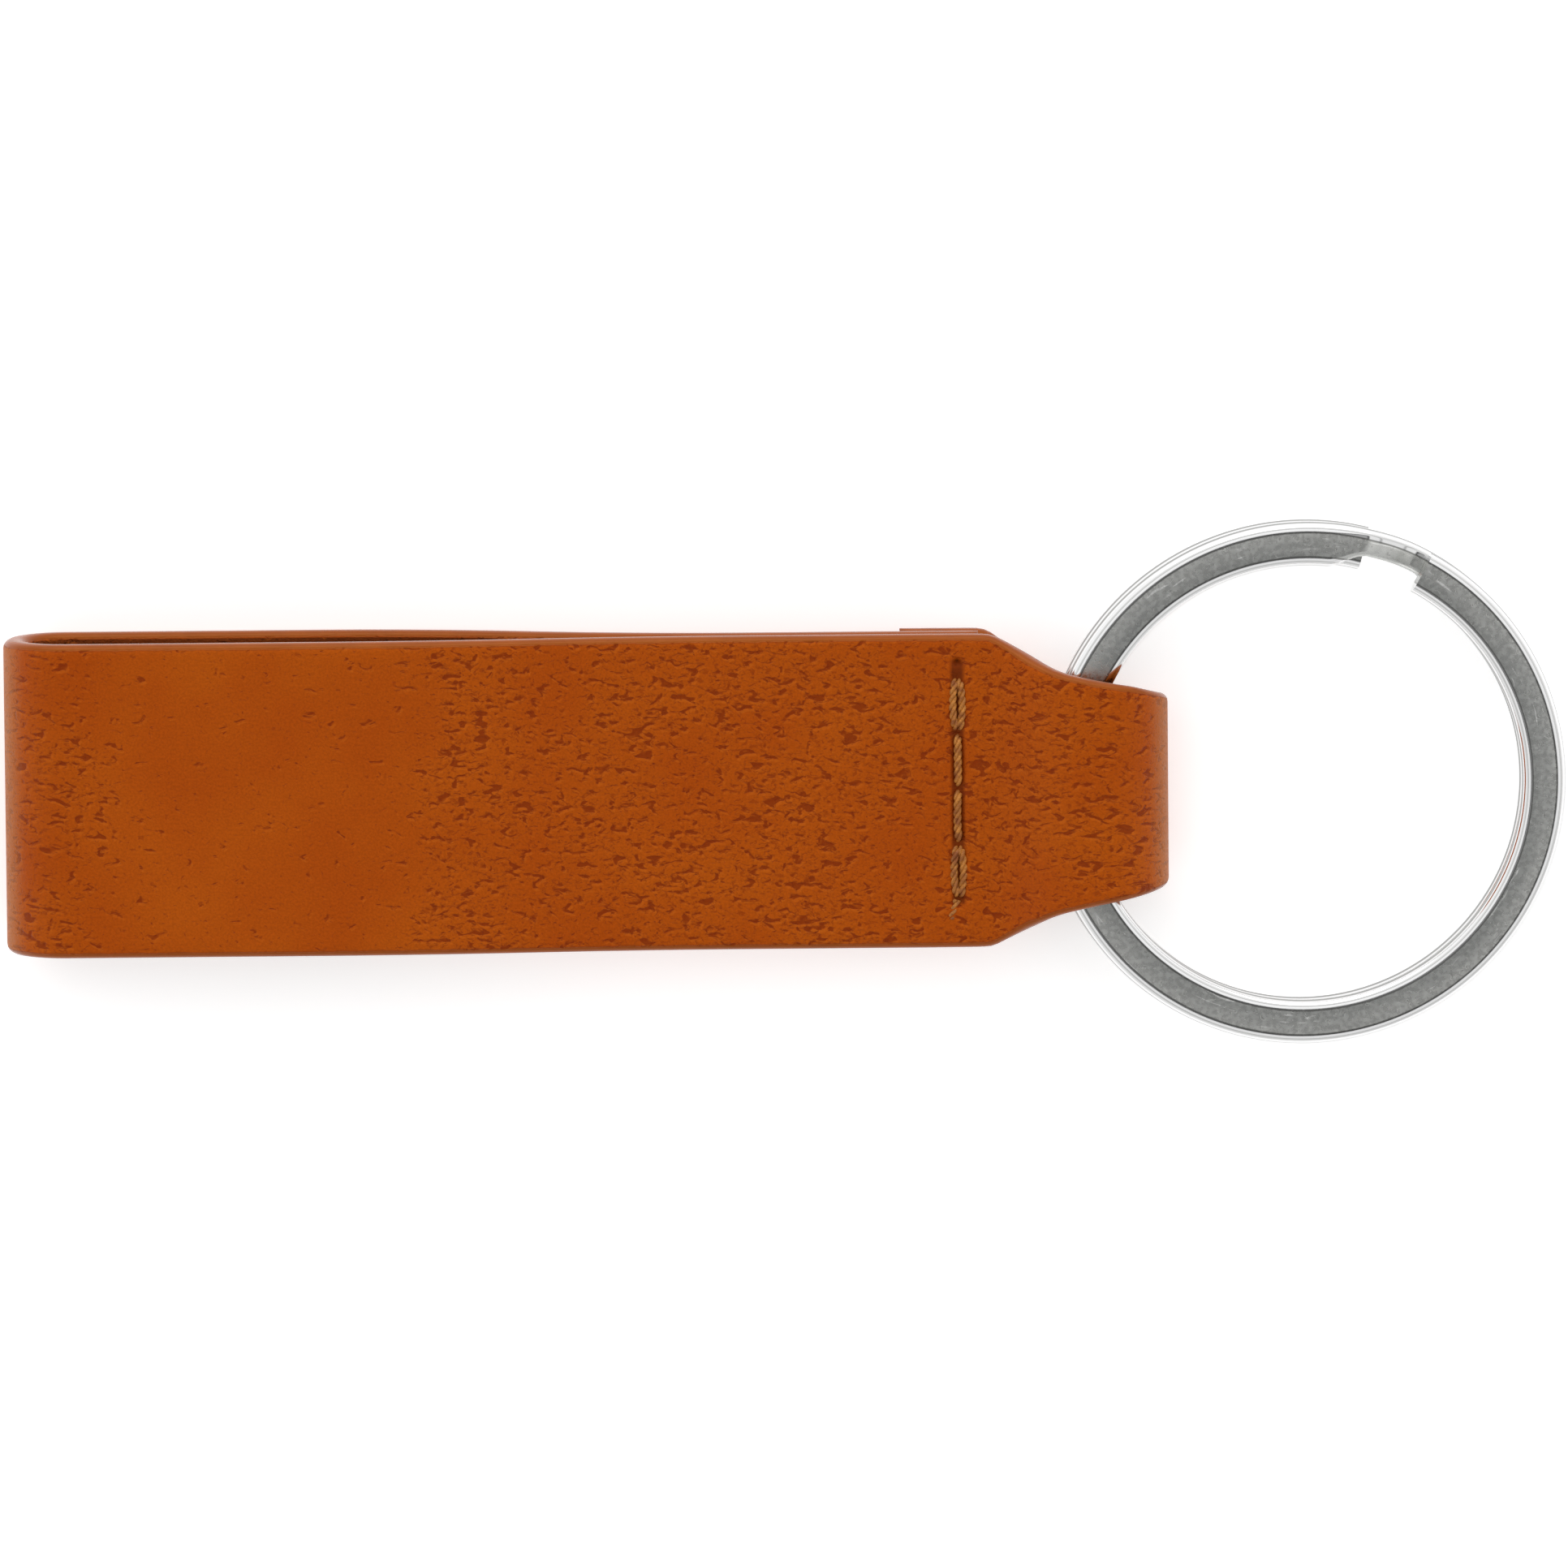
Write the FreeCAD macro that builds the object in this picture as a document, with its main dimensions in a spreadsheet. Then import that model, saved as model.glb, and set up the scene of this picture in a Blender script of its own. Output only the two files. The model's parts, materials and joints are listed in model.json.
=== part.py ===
import FreeCAD, Part
import math
import os
import Sketcher

# A leather strap keychain with a split ring, lying on a table.
# Row frame, in millimetres: +X runs along the strap towards the ring, +Y across the strap,
# +Z up from the table. The origin is on the table, under the middle of the whole object.

DIMENSIONS = {
    # strap
    "leather": (1.3, "thickness of the strap"),
    "glue_line": (0.05, "gap between two layers that lie face to face"),
    "strap_width": (18.0, "full width of the strap"),
    "edge_round": (0.5, "rounding of the strap's long edges"),
    "tab_round": (0.45, "rounding of the edges cut along the tab"),
    "fold_reach": (44.54, "origin to the outside of the loop fold, along -X"),
    "tab_reach": (21.8, "origin to the outside of the tab fold, along +X"),
    "flap_end": (6.55, "X of the free end of the return flap"),
    "inner_end": (11.0, "X of the strap end held between the two outer layers"),
    "loop_gap": (4.4, "largest space between the two legs of the loop"),
    "loop_open": (-27.0, "X where the legs have spread to the full gap"),
    "loop_close": (-2.0, "X where the legs meet"),
    "tunnel_height": (4.9, "height inside the tab fold that holds the ring"),
    "lift_off": (11.2, "X where the outer layers part to go round the ring"),
    # tab outline, seen from above
    "shoulder_start": (11.05, "X where the strap starts to narrow"),
    "shoulder_radius": (2.5, "convex radius of the shoulder"),
    "shoulder_slope": (30.0, "slope of the narrowing side, degrees"),
    "waist_radius": (12.0, "concave radius between shoulder and tab"),
    "tab_slope": (10.7, "slope of the tab side, degrees"),
    "tab_width": (11.3, "width of the tab at its fold"),
    # seam
    "seam_x": (9.8, "X of the row of stitches"),
    "first_hole": (6.6, "Y of the first needle hole of the seam"),
    "hole_pitch": (3.2, "distance from hole to hole"),
    "hole_radius": (0.6, "radius of a needle hole"),
    "spare_hole": (7.85, "Y of the needle hole that holds no thread"),
    "spare_radius": (0.35, "radius of the needle hole that holds no thread"),
    "thread": (0.42, "diameter of the sewing thread"),
    "thread_bend": (0.35, "bend radius of the thread at a hole"),
    "thread_gap": (0.03, "clearance between the thread and the leather"),
    "groove_depth": (0.25, "how deep the stitches sink into the leather"),
    "leg_inset": (0.25, "thread leg to the middle of its hole, along Y"),
    "thread_ends": (0.1, "middle of the seam to the ends of each thread's legs"),
    "strand_offset": (0.23, "each strand of a doubled stitch to the seam, along X"),
    # split ring
    "ring_radius": (15.0, "outer radius of the split ring"),
    "wire_width": (2.5, "width of the flat wire"),
    "coil_pitch": (1.2, "distance between the middles of the two coils"),
    "coil_gap": (0.03, "gap between the two coils"),
    "wire_round": (0.5, "rounding of the wire's edges"),
    "coil_angle": (345.5, "angle of each flat coil, degrees"),
    "split_angle": (75.0, "where the wire starts to cross between the coils, degrees"),
    "ring_axis_x": (16.75, "X of the line that the ring swings about"),
    "ring_lever": (12.85, "ring centre to the line that the ring swings about"),
}

doc = FreeCAD.newDocument("keychain")
sheet = doc.addObject("Spreadsheet::Sheet", "dims")
for row, (name, (number, meaning)) in enumerate(DIMENSIONS.items(), start=1):
    sheet.set(f"A{row}", name.replace("_", " "))
    sheet.set(f"B{row}", str(number))
    sheet.set(f"C{row}", meaning)
    sheet.setAlias(f"B{row}", name)
doc.recompute()

# Heights of the strap's middle line, worked out from the driving dimensions.
ON_TABLE = "dims.leather / 2"
LAYER_STEP = "(dims.leather + dims.glue_line)"
MIDDLE = "(dims.leather + dims.tunnel_height / 2)"
FLAP = f"({MIDDLE} - {LAYER_STEP})"
FRONT = f"({MIDDLE} + {LAYER_STEP})"
CREST = "(dims.leather * 1.5 + dims.loop_gap)"
TAB_TOP = "(dims.leather * 1.5 + dims.tunnel_height)"
LOOP_FOLD_X = "(dims.leather + dims.loop_gap / 2 - dims.fold_reach)"
TAB_FOLD_X = "(dims.tab_reach - dims.leather - dims.tunnel_height / 2)"
SEAM_TOP = f"({FRONT} + dims.leather / 2)"
SEAM_BOTTOM = f"({FLAP} - dims.leather / 2)"

START, END, CENTRE = 1, 2, 3
ORIGIN = (-1, START)
OUTSIDE = "2"
PAST_TAB = f"(dims.tab_reach + {OUTSIDE})"
PAST_EDGE = f"(dims.strap_width / 2 + {OUTSIDE})"
SIDE_AT_PAST_TAB = f"dims.tab_width / 2 - {OUTSIDE} * tan(dims.tab_slope * 1 deg)"


def value(expression):
    """The number that an expression of the sheet's cells gives."""
    result = sheet.evalExpression(expression)
    return float(getattr(result, "Value", result))


def point(x, y):
    return FreeCAD.Vector(x, y, 0)


def segment(sketch, start, end):
    return sketch.addGeometry(Part.LineSegment(point(*start), point(*end)), False)


def arc(sketch, start, centre, end, turn):
    """An arc from start to end about centre, anticlockwise where turn is positive.

    Returns its index with the numbers of its start and end points, which a sketch
    counts anticlockwise.
    """
    circle = Part.Circle(point(*centre), FreeCAD.Vector(0, 0, 1), math.dist(start, centre))
    angles = [math.atan2(p[1] - centre[1], p[0] - centre[0]) for p in (start, end)]
    if turn < 0:
        angles.reverse()
    index = sketch.addGeometry(Part.ArcOfCircle(circle, *angles), False)
    return (index, START, END) if turn > 0 else (index, END, START)


def hold(sketch, kind, *args):
    """A constraint whose last argument, an expression, is bound to the sheet."""
    *places, expression = args
    unit = math.radians(1) if kind == "Angle" else 1
    index = sketch.addConstraint(Sketcher.Constraint(kind, *places, value(expression) * unit))
    bound = f"({expression}) * 1 deg" if kind == "Angle" else expression
    sketch.setExpression(f"Constraints[{index}]", bound)


def relate(sketch, kind, *places):
    sketch.addConstraint(Sketcher.Constraint(kind, *places))


def join_smoothly(sketch, first, second):
    """Makes each end of first run into the start of second with no corner."""
    relate(sketch, "Tangent", first[0], first[2], second[0], second[1])


def make_body(name):
    body = doc.addObject("PartDesign::Body", name)
    body.Label = name
    return body


def plane(body, role):
    return next(f for f in body.Origin.OriginFeatures if f.Role == role)


def sketch_on(body, role, name, lift=None):
    """A sketch on one of the body's own origin planes, lifted off it by an expression."""
    sketch = body.newObject("Sketcher::SketchObject", name)
    sketch.AttachmentSupport = [(plane(body, role), "")]
    sketch.MapMode = "FlatFace"
    if lift:
        sketch.setExpression("AttachmentOffset.Base.z", lift)
    return sketch


def round_box(sketch, left, right, low, high, radius):
    """A rectangle with rounded corners, all five sizes bound to the sheet."""
    x0, x1, y0, y1, r = (value(e) for e in (left, right, low, high, radius))
    sides = [
        ((x0 + r, y0), (x1 - r, y0)),
        ((x1, y0 + r), (x1, y1 - r)),
        ((x1 - r, y1), (x0 + r, y1)),
        ((x0, y1 - r), (x0, y0 + r)),
    ]
    centres = [(x1 - r, y0 + r), (x1 - r, y1 - r), (x0 + r, y1 - r), (x0 + r, y0 + r)]
    lines, corners = [], []
    for side, centre, following in zip(sides, centres, sides[1:] + sides[:1]):
        lines.append((segment(sketch, *side), START, END))
        corners.append(arc(sketch, side[1], centre, following[0], turn=1))
    for i in range(4):
        join_smoothly(sketch, lines[i], corners[i])
        join_smoothly(sketch, corners[i], lines[(i + 1) % 4])
        relate(sketch, "Vertical" if i % 2 else "Horizontal", lines[i][0])
    for corner in corners[1:]:
        relate(sketch, "Equal", corners[0][0], corner[0])
    hold(sketch, "Radius", corners[0][0], radius)
    hold(sketch, "DistanceY", *ORIGIN, lines[0][0], START, low)
    hold(sketch, "DistanceX", *ORIGIN, lines[1][0], START, right)
    hold(sketch, "DistanceY", *ORIGIN, lines[2][0], START, high)
    hold(sketch, "DistanceX", *ORIGIN, lines[3][0], START, left)


def box(sketch, left, right, low, high):
    """A rectangle with sharp corners, all four sizes bound to the sheet."""
    x0, x1, y0, y1 = (value(e) for e in (left, right, low, high))
    corners = [(x0, y0), (x1, y0), (x1, y1), (x0, y1)]
    lines = [segment(sketch, a, b) for a, b in zip(corners, corners[1:] + corners[:1])]
    for i, line in enumerate(lines):
        relate(sketch, "Coincident", line, END, lines[(i + 1) % 4], START)
        relate(sketch, "Vertical" if i % 2 else "Horizontal", line)
    hold(sketch, "DistanceX", *ORIGIN, lines[0], START, left)
    hold(sketch, "DistanceY", *ORIGIN, lines[0], START, low)
    hold(sketch, "DistanceX", *ORIGIN, lines[2], START, right)
    hold(sketch, "DistanceY", *ORIGIN, lines[2], START, high)


# ---- strap: one strip of leather, folded twice ----------------------------------------

# The strap's middle line in side view, from the flap's free end, round the ring, along the
# front, round the loop fold and back between the two outer layers: each level stretch is
# (height, X of its start, X of its end, how it goes on).
STRETCHES = [
    (FLAP, "dims.flap_end", "dims.lift_off", "bend"),
    (ON_TABLE, "dims.ring_axis_x", TAB_FOLD_X, "fold"),
    (TAB_TOP, TAB_FOLD_X, "dims.ring_axis_x", "bend"),
    (FRONT, "dims.lift_off", "dims.loop_close", "bend"),
    (CREST, "dims.loop_open", LOOP_FOLD_X, "fold"),
    (ON_TABLE, LOOP_FOLD_X, "dims.loop_open", "bend"),
    (MIDDLE, "dims.loop_close", "dims.inner_end", "end"),
]


def draw_fold(sketch, start, end):
    """A half circle from one level to the other, on the side that the strap runs to."""
    centre = (start[0], (start[1] + end[1]) / 2)
    return [arc(sketch, start, centre, end, turn=1)]


def draw_bend(sketch, start, end):
    """Two equal arcs that lead smoothly from one level to another."""
    run, rise = end[0] - start[0], end[1] - start[1]
    turn = 1 if run * rise > 0 else -1
    half_angle = math.atan2(abs(rise), abs(run))
    radius = abs(run) / (2 * math.sin(2 * half_angle))
    up = math.copysign(radius, rise)
    half_way = (start[0] + run / 2, start[1] + rise / 2)
    first = arc(sketch, start, (start[0], start[1] + up), half_way, turn)
    second = arc(sketch, half_way, (end[0], end[1] - up), end, -turn)
    join_smoothly(sketch, first, second)
    relate(sketch, "Equal", first[0], second[0])
    return [first, second]


def draw_strap_path(sketch):
    after_fold = False
    last = None
    for i, (height, x_start, x_end, goes_on) in enumerate(STRETCHES):
        start = (value(x_start), value(height))
        end = (value(x_end), value(height))
        line = (segment(sketch, start, end), START, END)
        if last:
            join_smoothly(sketch, last, line)
        relate(sketch, "Horizontal", line[0])
        hold(sketch, "DistanceY", *ORIGIN, line[0], START, height)
        hold(sketch, "DistanceX", *ORIGIN, line[0], END, x_end)
        if not after_fold:
            hold(sketch, "DistanceX", *ORIGIN, line[0], START, x_start)
        if goes_on == "end":
            return
        next_height, next_x = STRETCHES[i + 1][:2]
        draw = draw_fold if goes_on == "fold" else draw_bend
        arcs = draw(sketch, end, (value(next_x), value(next_height)))
        join_smoothly(sketch, line, arcs[0])
        last = arcs[-1]
        after_fold = goes_on == "fold"


def draw_tab_waste(sketch):
    """The leather that is cut away beside the tab, on the +Y side."""
    x0, edge = value("dims.shoulder_start"), value("dims.strap_width / 2")
    r1, r2 = value("dims.shoulder_radius"), value("dims.waist_radius")
    a1, a2 = (math.radians(value(f"dims.{a}_slope")) for a in ("shoulder", "tab"))
    x_out, y_out = value(PAST_TAB), value(PAST_EDGE)
    y_tab = value("dims.tab_width / 2")
    x_tab = value("dims.tab_reach")
    shoulder_end = (x0 + r1 * math.sin(a1), edge - r1 * (1 - math.cos(a1)))
    # where the shoulder's slope and the tab's side would cross
    rise = y_tab + x_tab * math.tan(a2) - shoulder_end[1] - shoulder_end[0] * math.tan(a1)
    cross_x = rise / (math.tan(a2) - math.tan(a1))
    cross_y = y_tab + (x_tab - cross_x) * math.tan(a2)
    reach = r2 * math.tan((a1 - a2) / 2)
    waist_start = (cross_x - reach * math.cos(a1), cross_y + reach * math.sin(a1))
    waist_end = (cross_x + reach * math.cos(a2), cross_y - reach * math.sin(a2))
    waist_centre = (waist_start[0] + r2 * math.sin(a1), waist_start[1] + r2 * math.cos(a1))
    y_side = value(SIDE_AT_PAST_TAB)

    back = (segment(sketch, (x0, y_out), (x0, edge)), START, END)
    shoulder = arc(sketch, (x0, edge), (x0, edge - r1), shoulder_end, turn=-1)
    slope = (segment(sketch, shoulder_end, waist_start), START, END)
    waist = arc(sketch, waist_start, waist_centre, waist_end, turn=1)
    side = (segment(sketch, waist_end, (x_out, y_side)), START, END)
    end = (segment(sketch, (x_out, y_side), (x_out, y_out)), START, END)
    outside = (segment(sketch, (x_out, y_out), (x0, y_out)), START, END)
    for first, second in ((shoulder, slope), (slope, waist), (waist, side)):
        join_smoothly(sketch, first, second)
    for first, second in ((back, shoulder), (side, end), (end, outside), (outside, back)):
        relate(sketch, "Coincident", first[0], first[2], second[0], second[1])
    relate(sketch, "Vertical", back[0])
    relate(sketch, "Vertical", end[0])
    relate(sketch, "Horizontal", outside[0])
    relate(sketch, "Vertical", shoulder[0], CENTRE, back[0], END)
    hold(sketch, "DistanceX", *ORIGIN, back[0], END, "dims.shoulder_start")
    hold(sketch, "DistanceY", *ORIGIN, back[0], END, "dims.strap_width / 2")
    hold(sketch, "Radius", shoulder[0], "dims.shoulder_radius")
    hold(sketch, "Radius", waist[0], "dims.waist_radius")
    hold(sketch, "Angle", slope[0], "-dims.shoulder_slope")
    hold(sketch, "Angle", side[0], "-dims.tab_slope")
    hold(sketch, "DistanceX", *ORIGIN, end[0], START, PAST_TAB)
    hold(sketch, "DistanceY", *ORIGIN, end[0], START, SIDE_AT_PAST_TAB)
    hold(sketch, "DistanceY", *ORIGIN, end[0], END, PAST_EDGE)


def circle(sketch, x, y, radius):
    shape = Part.Circle(point(value(x), value(y)), FreeCAD.Vector(0, 0, 1), value(radius))
    index = sketch.addGeometry(shape, False)
    hold(sketch, "Radius", index, radius)
    hold(sketch, "DistanceX", *ORIGIN, index, CENTRE, x)
    hold(sketch, "DistanceY", *ORIGIN, index, CENTRE, y)


def cut(body, sketch, name, depth=None, upwards=False):
    """A pocket as deep as an expression says, or through everything both ways."""
    before = body.Shape.Volume
    pocket = body.newObject("PartDesign::Pocket", name)
    pocket.Profile = sketch
    if depth:
        pocket.setExpression("Length", depth)
        pocket.Reversed = upwards
    else:
        pocket.Type = "ThroughAll"
        pocket.Midplane = True
    doc.recompute()
    assert pocket.Shape.Volume < before, f"{name} cut nothing"
    return pocket


def cut_edges(shape):
    """Names of the edges between the tab's upright cut sides and the strip's own faces."""
    def is_cut_side(face):
        u0, u1, v0, v1 = face.ParameterRange
        normal = face.normalAt((u0 + u1) / 2, (v0 + v1) / 2)
        beside_tab = face.BoundBox.XMin > value("dims.shoulder_start") - 0.1
        return beside_tab and abs(normal.z) < 1e-3 and abs(normal.y) > 0.3

    sides = [face for face in shape.Faces if is_cut_side(face)]
    names = []
    for number, edge in enumerate(shape.Edges, start=1):
        touching = sum(any(edge.isSame(e) for e in face.Edges) for face in sides)
        if touching == 1 and edge.BoundBox.XMin > value("dims.shoulder_start") - 0.01:
            names.append(f"Edge{number}")
    return names


def make_strap():
    body = make_body("strap")
    path = sketch_on(body, "XZ_Plane", "strap_path")
    draw_strap_path(path)
    section = sketch_on(body, "YZ_Plane", "strap_section", lift="dims.flap_end")
    low, high = f"{FLAP} - dims.leather / 2", f"{FLAP} + dims.leather / 2"
    round_box(section, "-dims.strap_width / 2", "dims.strap_width / 2", low, high, "dims.edge_round")
    strip = body.newObject("PartDesign::AdditivePipe", "folded_strip")
    strip.Profile = section
    strip.Spine = path
    doc.recompute()

    waste = sketch_on(body, "XY_Plane", "tab_waste")
    draw_tab_waste(waste)
    side_cut = cut(body, waste, "tab_side")
    both_sides = body.newObject("PartDesign::Mirrored", "tab_sides")
    both_sides.Originals = [side_cut]
    both_sides.MirrorPlane = (plane(body, "XZ_Plane"), [""])
    body.Tip = both_sides
    doc.recompute()
    rounding = body.newObject("PartDesign::Fillet", "tab_edges")
    rounding.Base = (both_sides, cut_edges(both_sides.Shape))
    rounding.setExpression("Radius", "dims.tab_round")
    doc.recompute()

    spare = sketch_on(body, "XY_Plane", "spare_needle_hole")
    circle(spare, "dims.seam_x", "dims.spare_hole", "dims.spare_radius")
    cut(body, spare, "spare_hole_cut")
    hole = sketch_on(body, "XY_Plane", "needle_hole")
    circle(hole, "dims.seam_x", "dims.first_hole", "dims.hole_radius")
    first_hole = cut(body, hole, "needle_hole_cut")
    row = body.newObject("PartDesign::LinearPattern", "needle_holes")
    row.Originals = [first_hole]
    row.Direction = (hole, ["V_Axis"])
    row.Reversed = True
    row.Occurrences = len(HOLES)
    row.setExpression("Length", f"dims.hole_pitch * {len(HOLES) - 1}")
    body.Tip = row
    doc.recompute()

    for side, face in FACES.items():
        single = sketch_on(body, "XY_Plane", f"{side}_groove", lift=face)
        box(single, *beside_seam(SINGLE_HALF), HOLES[-1], HOLES[0])
        cut(body, single, f"{side}_groove_cut", "dims.groove_depth", side == "back")
        double = sketch_on(body, "XY_Plane", f"{side}_wide_groove", lift=face)
        for first, last, strands in STITCHES:
            if strands == 2:
                box(double, *beside_seam(DOUBLE_HALF), HOLES[last], HOLES[first])
        cut(body, double, f"{side}_wide_groove_cut", "dims.groove_depth", side == "back")
    return body


# ---- seam: two threads, one on each face -----------------------------------------------

FACES = {"front": SEAM_TOP, "back": SEAM_BOTTOM}
HOLES = [f"(dims.first_hole - dims.hole_pitch * {i})" for i in range(5)]
# each stitch is (its first hole, its last hole, how many strands lie side by side)
STITCHES = [(0, 1, 2), (1, 2, 1), (2, 3, 1), (3, 4, 2)]
SINGLE_HALF = "(dims.thread / 2 + dims.thread_gap)"
DOUBLE_HALF = f"({SINGLE_HALF} + dims.strand_offset)"


def beside_seam(half_width):
    return f"dims.seam_x - {half_width}", f"dims.seam_x + {half_width}"


def make_strand(name, x, y_high, y_low, face, outwards):
    """One stitch: a leg out of one hole, along the face and into the next hole."""
    bar = f"({face} + {outwards} * ({SINGLE_HALF} - dims.groove_depth))"
    leg_end = f"({MIDDLE} + {outwards} * dims.thread_ends)"
    bend = value("dims.thread_bend")
    y1, y2, z_bar, z_end = (value(e) for e in (y_high, y_low, bar, leg_end))
    z_bend = z_bar - outwards * bend

    path = doc.addObject("Sketcher::SketchObject", f"{name}_path")
    path.Placement.Rotation = FreeCAD.Rotation(FreeCAD.Vector(1, 1, 1), 120)
    path.setExpression("Placement.Base.x", x)
    first_leg = (segment(path, (y1, z_end), (y1, z_bend)), START, END)
    first_bend = arc(path, (y1, z_bend), (y1 - bend, z_bend), (y1 - bend, z_bar), turn=outwards)
    along = (segment(path, (y1 - bend, z_bar), (y2 + bend, z_bar)), START, END)
    last_bend = arc(path, (y2 + bend, z_bar), (y2 + bend, z_bend), (y2, z_bend), turn=outwards)
    last_leg = (segment(path, (y2, z_bend), (y2, z_end)), START, END)
    route = [first_leg, first_bend, along, last_bend, last_leg]
    for before, after in zip(route, route[1:]):
        join_smoothly(path, before, after)
    relate(path, "Vertical", first_leg[0])
    relate(path, "Horizontal", along[0])
    relate(path, "Vertical", last_leg[0])
    relate(path, "Equal", first_bend[0], last_bend[0])
    hold(path, "Radius", first_bend[0], "dims.thread_bend")
    hold(path, "DistanceX", *ORIGIN, first_leg[0], START, y_high)
    hold(path, "DistanceX", *ORIGIN, last_leg[0], START, y_low)
    hold(path, "DistanceY", *ORIGIN, along[0], START, bar)
    hold(path, "DistanceY", *ORIGIN, first_leg[0], START, leg_end)
    hold(path, "DistanceY", *ORIGIN, last_leg[0], END, leg_end)

    section = doc.addObject("Part::Circle", f"{name}_section")
    section.setExpression("Radius", "dims.thread / 2")
    section.setExpression("Placement.Base.x", x)
    section.setExpression("Placement.Base.y", y_high)
    section.setExpression("Placement.Base.z", leg_end)
    doc.recompute()
    strand = doc.addObject("Part::Sweep", name)
    strand.Sections = [section]
    strand.Spine = (path, [f"Edge{i + 1}" for i in range(len(route))])
    strand.Solid = True
    doc.recompute()
    length = path.Shape.Length
    expected = length * math.pi * (value("dims.thread") / 2) ** 2
    assert abs(strand.Shape.Volume / expected - 1) < 0.01, f"{name} is not a whole tube"
    return strand


def make_thread(name, side):
    """All the strands that one thread shows on its face of the seam, as one sub-part."""
    outwards = 1 if side == "front" else -1
    strands = []
    for first, last, count in STITCHES:
        y_high = f"{HOLES[first]} - dims.leg_inset"
        y_low = f"{HOLES[last]} + dims.leg_inset"
        for shift in {1: [0], 2: [-1, 1]}[count]:
            x = f"dims.seam_x + {shift} * dims.strand_offset"
            label = f"{name}_strand_{len(strands) + 1}"
            strands.append(make_strand(label, x, y_high, y_low, FACES[side], outwards))
    thread = doc.addObject("Part::Compound", name)
    thread.Label = name
    thread.Links = strands
    doc.recompute()
    return thread


# ---- split ring: one flat wire, two turns ----------------------------------------------

COIL_HIGH = "(dims.coil_pitch - dims.coil_gap / 2)"
COIL_LOW = "(dims.coil_gap / 2)"
INNER_RADIUS = "(dims.ring_radius - dims.wire_width)"


def resting_tilt():
    """How far the ring leans, in degrees, for its far edge to touch the table."""
    reach = value("dims.ring_lever + dims.ring_radius - dims.wire_round")
    drop = value(f"{COIL_HIGH} - dims.wire_round")
    height = value(f"{MIDDLE} - dims.wire_round")
    return math.degrees(math.asin(height / math.hypot(reach, drop)) - math.atan2(drop, reach))


def make_ring():
    body = make_body("split_ring")
    coils = sketch_on(body, "XZ_Plane", "coil_sections")
    upper = (INNER_RADIUS, "dims.ring_radius", COIL_LOW, COIL_HIGH, "dims.wire_round")
    lower = (INNER_RADIUS, "dims.ring_radius", f"-{COIL_HIGH}", f"-{COIL_LOW}", "dims.wire_round")
    round_box(coils, *upper)
    round_box(coils, *lower)
    turns = body.newObject("PartDesign::Revolution", "flat_coils")
    turns.Profile = coils
    turns.ReferenceAxis = (plane(body, "Z_Axis"), [""])
    turns.setExpression("Angle", "dims.coil_angle")
    doc.recompute()

    start = sketch_on(body, "XZ_Plane", "crossing_section")
    round_box(start, *upper)
    crossing = body.newObject("PartDesign::AdditiveHelix", "crossing")
    crossing.Profile = start
    crossing.ReferenceAxis = (plane(body, "Z_Axis"), [""])
    crossing.Mode = "height-turns-angle"
    crossing.setExpression("Height", "dims.coil_pitch")
    crossing.setExpression("Turns", "1 - dims.coil_angle / 360")
    crossing.Reversed = True
    doc.recompute()

    lean = FreeCAD.Rotation(FreeCAD.Vector(0, 1, 0), resting_tilt())
    spin = FreeCAD.Rotation(FreeCAD.Vector(0, 0, 1), value("dims.split_angle"))
    axis = FreeCAD.Vector(value("dims.ring_axis_x"), 0, value(MIDDLE))
    centre = axis + lean.multVec(FreeCAD.Vector(value("dims.ring_lever"), 0, 0))
    body.Placement = FreeCAD.Placement(centre, lean.multiply(spin))
    doc.recompute()
    return body


def check(parts):
    for item in doc.Objects:
        assert not {"Invalid", "Error"} & set(item.State), f"{item.Name}: {item.State}"
    for part in parts:
        assert not part.Shape.isNull() and part.Shape.isValid(), f"{part.Label} is not sound"
        box_ = part.Shape.optimalBoundingBox()
        print(part.Label, len(part.Shape.Solids), "solid(s)", round(part.Shape.Volume, 2), "mm3", box_)


parts = [
    make_strap(),
    make_thread("needle_thread", "front"),
    make_thread("bobbin_thread", "back"),
    make_ring(),
]
check(parts)
os.makedirs("parts", exist_ok=True)
for part in parts:
    part.Shape.exportStep(f"parts/{part.Label}.step")
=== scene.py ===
# %% [markdown]
# # A leather strap keychain
# A strip of orange-brown leather is folded round a steel split ring, brought back to the middle,
# folded again into a long flat loop and sewn through all its layers with one row of stitches.
# The CAD model in the frame says where everything is. Here each piece gets its real surface.
# Everything is in metres, with +X along the strap towards the ring and +Z up from the table.

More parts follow.
